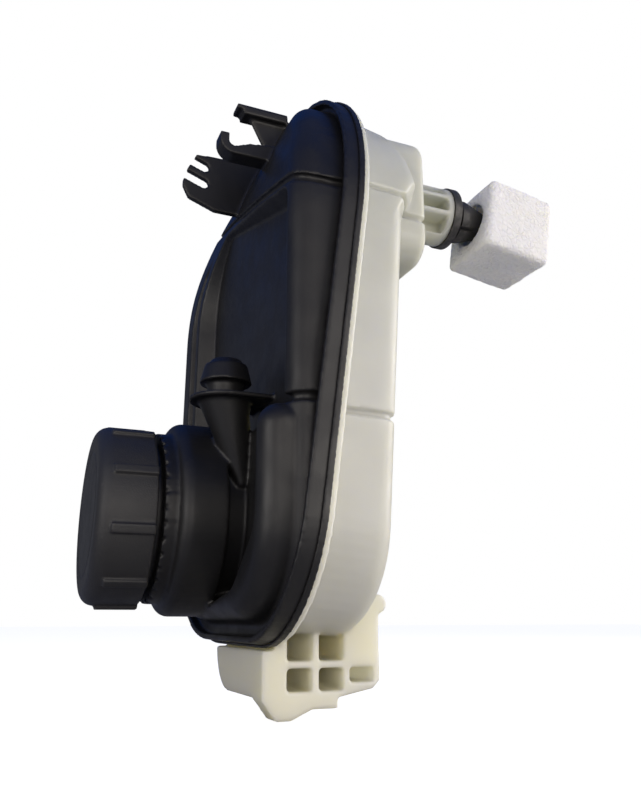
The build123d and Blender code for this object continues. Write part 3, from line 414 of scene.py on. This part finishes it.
FINISHES: dict[Slot, Finish] = {
    Slot.BLACK: Finish(
        "black_moulding",
        (0.0085, 0.0081, 0.0078),
        (0.0125, 0.012, 0.0115),
        (0.06, 0.057, 0.054),
        roughness=0.46, roughness_spread=0.12, grain_depth=0.5, wave_depth=0.6, dust=0.06,
    ),
    Slot.NATURAL: Finish(
        "natural_moulding",
        (0.595, 0.61, 0.53),
        (0.545, 0.555, 0.465),
        (0.74, 0.74, 0.68),
        roughness=0.40, roughness_spread=0.12, grain_depth=0.4, wave_depth=1.0, subsurface=0.85,
        # Lighter, yellower foot colour: a real tint plus painted glow for light through the translucent foot.
        subsurface_scale=0.013, dust=0.2, dust_color=(0.42, 0.40, 0.30), lower_tint_and_painted_glow=(0.86, 0.82, 0.64),
    ),
    Slot.CAP: Finish(
        "cap_moulding",
        (0.024, 0.0235, 0.023),
        (0.029, 0.0285, 0.028),
        (0.08, 0.077, 0.074),
        roughness=0.5, roughness_spread=0.1, grain=1900.0, grain_depth=2.2, wave_depth=0.2,
        dust=0.05,
    ),
    Slot.VALVE: Finish(
        "valve_moulding",
        (0.10, 0.10, 0.105),
        (0.13, 0.13, 0.13),
        (0.3, 0.3, 0.3),
        roughness=0.38,
    ),
    Slot.SENSOR: Finish(
        "sensor_moulding",
        (0.030, 0.031, 0.034),
        (0.042, 0.042, 0.044),
        (0.18, 0.18, 0.18),
        roughness=0.45, grain=2200.0, grain_depth=1.2,
    ),
    Slot.FLOAT: Finish(
        "float_moulding",
        (0.62, 0.12, 0.06),
        (0.52, 0.09, 0.05),
        (0.8, 0.4, 0.3),
        roughness=0.6, beads=900.0,
    ),
    Slot.SEAL: Finish(
        "seal_rubber_finish",
        (0.018, 0.018, 0.018),
        (0.026, 0.026, 0.025),
        (0.10, 0.10, 0.10),
        roughness=0.58, grain=3400.0, grain_depth=1.4, wave_depth=0.2,
    ),
    Slot.BUFFER: Finish(
        "buffer_rubber_finish",
        (0.020, 0.0195, 0.019),
        (0.033, 0.032, 0.030),
        (0.14, 0.13, 0.12),
        roughness=0.5, grain=1500.0, grain_depth=1.6, wave_depth=0.5, dust=0.15,
    ),
    Slot.FOAM: Finish(
        "beaded_foam",
        (0.99, 0.985, 0.97),
        (0.93, 0.92, 0.90),
        (0.99, 0.99, 0.98),
        roughness=0.85, roughness_spread=0.1, subsurface=0.5, subsurface_scale=0.005, beads=430.0,
        specular=0.25, dust=0.1,
    ),
    Slot.STEEL: Finish(
        "bright_steel",
        (0.56, 0.56, 0.55),
        (0.48, 0.48, 0.47),
        (0.75, 0.75, 0.74),
        roughness=0.3, metallic=1.0, grain=5200.0, wave_depth=0.1,
    ),
    Slot.BRASS: Finish(
        "turned_brass",
        (0.70, 0.52, 0.24),
        (0.62, 0.45, 0.2),
        (0.85, 0.7, 0.4),
        roughness=0.28, metallic=1.0, grain=5200.0, wave_depth=0.1,
    ),
    Slot.CONTACT: Finish(
        "tinned_contact",
        (0.72, 0.71, 0.68),
        (0.64, 0.63, 0.6),
        (0.85, 0.84, 0.82),
        roughness=0.25, metallic=1.0, grain=5200.0, wave_depth=0.1,
    ),
    Slot.GLASS: Finish(
        "reed_glass_finish",
        (0.80, 0.92, 0.88),
        (0.76, 0.9, 0.85),
        (0.9, 0.95, 0.93),
        roughness=0.06, roughness_spread=0.02, transmission=0.9, dust=0.0, wave_depth=0.1,
    ),
    Slot.MAGNET: Finish(
        "sintered_ferrite",
        (0.045, 0.045, 0.047),
        (0.065, 0.064, 0.064),
        (0.2, 0.2, 0.2),
        roughness=0.6, grain=2800.0, grain_depth=2.0,
    ),
}


def softened_copy(node: str, name: str, voxel_mm: float, rounds: int, keep: float) -> bpy.types.Object:
    """Copy a node's solid with the small soft edges that a moulding has.

    Args:
        node: The CAD node.
        name: The new piece's name.
        voxel_mm: The grid that the copy is rebuilt on.
        rounds: How many times the copy is smoothed.
        keep: The share of the faces that is kept.

    Returns:
        The new object, which stands for the node.
    """
    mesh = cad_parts[node].data.copy()
    work = bmesh.new()
    work.from_mesh(mesh)
    bmesh.ops.remove_doubles(work, verts=work.verts, dist=WELD_MM * MM)
    work.to_mesh(mesh)
    work.free()
    source = bpy.data.objects.new(name + "_source", mesh)
    bpy.context.scene.collection.objects.link(source)
    grid = source.modifiers.new("grid", "REMESH")
    grid.mode = "VOXEL"
    grid.voxel_size = voxel_mm * MM * 1.0
    soft = source.modifiers.new("soft", "SMOOTH")
    soft.factor = 0.5
    soft.iterations = rounds
    if keep < 1.0:
        lean = source.modifiers.new("lean", "DECIMATE")
        lean.ratio = keep
    graph = bpy.context.evaluated_depsgraph_get()
    made = bpy.data.meshes.new_from_object(source.evaluated_get(graph))
    made.name = name
    made.materials.clear()
    bpy.data.objects.remove(source)
    piece = bpy.data.objects.new(name, made)
    bpy.context.scene.collection.objects.link(piece)
    made.polygons.foreach_set("use_smooth", [True] * len(made.polygons))
    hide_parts(node)
    return piece


def displaced(piece: bpy.types.Object, rise: Callable[[Vector], float]) -> None:
    """Move each point of a piece along its normal.

    Args:
        piece: The piece that is changed.
        rise: Gives the distance in metres from the point's place.
    """
    mesh = piece.data
    places = [point.co.copy() for point in mesh.vertices]
    normals = [normal.vector.copy() for normal in mesh.vertex_normals]
    moved = [number for place, normal in zip(places, normals) for number in place + normal * rise(place)]
    mesh.vertices.foreach_set("co", moved)
    mesh.update()


def roughened(piece: bpy.types.Object, depth_mm: float, cell_mm: float, seed: float) -> None:
    """Push a piece's points in and out along their normals by a fixed noise.

    Args:
        piece: The piece that is changed.
        depth_mm: The most that a point moves.
        cell_mm: The size of one bump.
        seed: Where in the noise the piece lies.
    """
    shift = Vector((seed, seed * 0.7, -seed))
    displaced(piece, lambda place: noise.fractal(place / (cell_mm * MM) + shift, 1.0, 2.0, 3) * depth_mm * MM)


@dataclass
class Sub:
    """What every sub-assembly has: the materials that it dresses its nodes and pieces in."""

    materials: dict[Slot, bpy.types.Material]

    def dress(self, node: str, slot: Slot) -> None:
        """Give a CAD node its material.

        Args:
            node: The CAD node.
            slot: The slot whose finish it takes.
        """
        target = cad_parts[node]
        target.data.materials.clear()
        target.data.materials.append(self.materials[slot])
        LOG.info("dressed %s in %s", node, self.materials[slot].name)

    def place(self, piece: bpy.types.Object, body: str, slot: Slot) -> None:
        """Give a new piece its material and body.

        Args:
            piece: The piece.
            body: The body that it moves with.
            slot: The record's slot.
        """
        piece.data.materials.append(self.materials[slot])
        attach(piece, body)
        LOG.info("built %s with %d faces", piece.name, len(piece.data.polygons))


@dataclass
class Tank(Sub):
    """The two welded half-shells and the flash between them."""

    shell_voxel: float = 0.6
    shell_rounds: int = 4
    shell_keep: float = 0.4
    flash_voxel: float = 0.3
    flash_depth: float = 0.10
    flash_cell: float = 1.4

    def build(self) -> None:
        """Build the moulded skins of both halves and the rough weld flash."""
        how = (self.shell_voxel, self.shell_rounds, self.shell_keep)
        front = softened_copy("front_shell", "front_half_skin", *how)
        self.place(front, "tank", Slot.BLACK)
        rear = softened_copy("rear_shell", "rear_half_skin", *how)
        self.place(rear, "tank", Slot.NATURAL)
        flash = softened_copy("weld_bead", "weld_flash", self.flash_voxel, 2, 0.5)
        roughened(flash, self.flash_depth, self.flash_cell, 3.0)
        self.place(flash, "tank", Slot.BLACK)


@dataclass
class Peg(Sub):
    """The rubber buffer on the mounting peg and the foam block pushed on it."""

    bead_depth: float = 0.22
    bead_size: float = 2.4
    bead_middle: float = 0.42

    def build(self) -> None:
        """Build the beaded foam block and dress the buffer."""
        self.dress("mounting_buffer", Slot.BUFFER)
        block = softened_copy("foam_block", "foam_cube", 0.7, 6, 1.0)
        displaced(block, self.bead_rise)
        roughened(block, 0.25, 9.0, 11.0)
        self.place(block, "foam", Slot.FOAM)

    def bead_rise(self, place: Vector) -> float:
        """Return how far a bead of the foam stands out at a place."""
        near, _ = noise.voronoi(place / (self.bead_size * MM))
        return (self.bead_middle - near[0]) * self.bead_depth * MM


@dataclass
class Cap(Sub):
    """The screw cap and everything it carries."""

    grip_voxel: float = 0.45

    def build(self) -> None:
        """Build the grip's moulded skin and dress the cap's other pieces."""
        grip = softened_copy("cap_shell", "cap_grip_skin", self.grip_voxel, 4, 0.5)
        self.place(grip, "cap_grip", Slot.CAP)
        for node in ("cap_insert", "pressure_plate", "spring_retainer"):
            self.dress(node, Slot.VALVE)
        for node in ("cap_seal", "cap_gasket", "pressure_seal"):
            self.dress(node, Slot.SEAL)
        for node in ("cap_lock_ring", "pressure_spring", "vacuum_spring"):
            self.dress(node, Slot.STEEL)
        self.dress("vacuum_poppet", Slot.BRASS)


@dataclass
class LevelSensor(Sub):
    """The level sensor, with its float."""

    def build(self) -> None:
        """Dress the sensor's pieces."""
        self.dress("sensor_housing", Slot.SENSOR)
        self.dress("sensor_gasket", Slot.SEAL)
        self.dress("sensor_screws", Slot.STEEL)
        self.dress("sensor_pins", Slot.CONTACT)
        self.dress("reed_switch", Slot.GLASS)
        self.dress("level_float", Slot.FLOAT)
        self.dress("float_magnet", Slot.MAGNET)
        self.dress("float_clip", Slot.STEEL)


@dataclass
class Studio:
    """Floor, lights and camera."""

    camera_place: tuple[float, float, float] = (-0.1619, -0.2490, -0.1645)
    camera_forward: tuple[float, float, float] = (0.3716, 0.8839, 0.2840)
    lens: float = 42.68
    sensor: float = 36.0
    floor_half: float = 3.0
    floor_gap: float = 0.0004
    middle: tuple[float, float, float] = (-0.060, 0.050, -0.070)
    near_color: tuple[float, float, float] = (0.84, 0.76, 0.67)
    far_color: tuple[float, float, float] = (0.13, 0.135, 0.15)
    sky_color: tuple[float, float, float] = (0.0, 0.045, 0.24)
    ground_color: tuple[float, float, float] = (0.26, 0.235, 0.205)
    lights: list[tuple[str, tuple[float, float, float], float, float, tuple[float, float, float]]] = field(
        default_factory=lambda: [
            ("near_panel", (0.60, -0.95, 0.10), 0.7, 4.6, (1.0, 0.95, 0.89)),
            ("low_panel", (-0.25, -0.95, -0.03), 0.5, 2.0, (1.0, 0.95, 0.89)),
            ("cap_panel", (-1.00, -0.45, 0.00), 0.6, 3.9, (1.0, 0.97, 0.93)),
            ("peg_panel", (0.95, -0.15, 0.25), 0.6, 5.0, (1.0, 0.96, 0.90)),
        ])

    def build(self) -> None:
        """Build everything."""
        self.build_floor()
        self.build_world()
        for light in self.lights:
            self.build_light(*light)
        self.build_camera()

    def build_floor(self) -> None:
        """Lay a plain pale floor under the foot."""
        low = CAD_BOX[0][2] - self.floor_gap
        half = self.floor_half
        mesh = bpy.data.meshes.new("floor")
        mesh.from_pydata([(-half, -half, low), (half, -half, low), (half, half, low), (-half, half, low)], [],
                         [(0, 1, 2, 3)])
        floor = bpy.data.objects.new("floor", mesh)
        bpy.context.scene.collection.objects.link(floor)
        material = bpy.data.materials.new("floor_paint")
        material.use_nodes = True
        nodes, links = material.node_tree.nodes, material.node_tree.links
        shader = nodes["Principled BSDF"]
        shader.inputs["Base Color"].default_value = (0.56, 0.545, 0.52, 1.0)
        shader.inputs["Roughness"].default_value = 0.9
        shader.inputs["Emission Color"].default_value = (1.0, 1.0, 1.0, 1.0)
        path = nodes.new("ShaderNodeLightPath")
        seen = nodes.new("ShaderNodeMath")
        seen.operation = "MULTIPLY"
        seen.inputs[1].default_value = 0.9
        links.new(path.outputs["Is Camera Ray"], seen.inputs[0])
        links.new(seen.outputs[0], shader.inputs["Emission Strength"])
        mesh.materials.append(material)

    def build_world(self) -> None:
        """Light the scene from a bright near side, under a deep blue sky, before a white backdrop."""
        world = bpy.data.worlds.new("studio")
        bpy.context.scene.world = world
        world.use_nodes = True
        nodes, links = world.node_tree.nodes, world.node_tree.links
        nodes.clear()
        out = nodes.new("ShaderNodeOutputWorld")
        mix = nodes.new("ShaderNodeMixShader")
        path = nodes.new("ShaderNodeLightPath")
        white = nodes.new("ShaderNodeBackground")
        soft = nodes.new("ShaderNodeBackground")
        coords = nodes.new("ShaderNodeTexCoord")
        split = nodes.new("ShaderNodeSeparateXYZ")
        links.new(coords.outputs["Generated"], split.inputs["Vector"])
        color = self.far_color
        for axis, low, high, over in (("Y", 0.35, -0.75, self.near_color), ("Z", 0.15, 0.70, self.sky_color),
                                      ("Z", -0.10, -0.60, self.ground_color)):
            spread = nodes.new("ShaderNodeMapRange")
            spread.interpolation_type = "SMOOTHSTEP"
            spread.inputs["From Min"].default_value = low
            spread.inputs["From Max"].default_value = high
            links.new(split.outputs[axis], spread.inputs["Value"])
            blend = nodes.new("ShaderNodeMix")
            blend.data_type = "RGBA"
            if isinstance(color, tuple):
                blend.inputs["A"].default_value = (*color, 1.0)
            else:
                links.new(color, blend.inputs["A"])
            blend.inputs["B"].default_value = (*over, 1.0)
            links.new(spread.outputs["Result"], blend.inputs["Factor"])
            color = blend.outputs["Result"]
        white.inputs["Color"].default_value = (1.0, 1.0, 1.0, 1.0)
        links.new(color, soft.inputs["Color"])
        links.new(path.outputs["Is Camera Ray"], mix.inputs["Fac"])
        links.new(soft.outputs["Background"], mix.inputs[1])
        links.new(white.outputs["Background"], mix.inputs[2])
        links.new(mix.outputs["Shader"], out.inputs["Surface"])

    def build_light(self, name: str, place: tuple[float, float, float], size: float, power: float,
                    color: tuple[float, float, float]) -> None:
        """Hang one soft panel that faces the part.

        Args:
            name: The light's name.
            place: Its place from the part's middle, in metres.
            size: Its side, in metres.
            power: Its power, in watts.
            color: Its colour.
        """
        data = bpy.data.lights.new(name, "AREA")
        data.shape = "SQUARE"
        data.size = size
        data.energy = power
        data.color = color
        light = bpy.data.objects.new(name, data)
        bpy.context.scene.collection.objects.link(light)
        light.location = Vector(self.middle) + Vector(place)
        light.rotation_euler = (-Vector(place)).to_track_quat("-Z", "Y").to_euler()

    def build_camera(self) -> None:
        """Stand the camera where the photograph was taken."""
        data = bpy.data.cameras.new("camera")
        data.lens = self.lens
        data.sensor_width = self.sensor
        data.sensor_fit = "HORIZONTAL"
        data.clip_start = 0.01
        camera = bpy.data.objects.new("camera", data)
        bpy.context.scene.collection.objects.link(camera)
        forward = Vector(self.camera_forward).normalized()
        right = forward.cross(Vector((0, 0, 1))).normalized()
        up = right.cross(forward)
        turn = Matrix((right, up, -forward)).transposed().to_4x4()
        camera.matrix_world = Matrix.Translation(self.camera_place) @ turn
        bpy.context.scene.camera = camera


def main() -> None:
    """Build and dress the part in order, then the studio round it."""
    logging.basicConfig(level=logging.INFO, format="%(name)s: %(message)s")
    scene = bpy.context.scene
    scene.view_settings.view_transform = "Standard"
    effects = SharedEffects()
    materials = {slot: finish.build(effects) for slot, finish in FINISHES.items()}
    Studio().build()
    for assembly in (Tank(materials), Peg(materials), Cap(materials), LevelSensor(materials)):
        assembly.build()


if __name__ == "__main__":
    main()
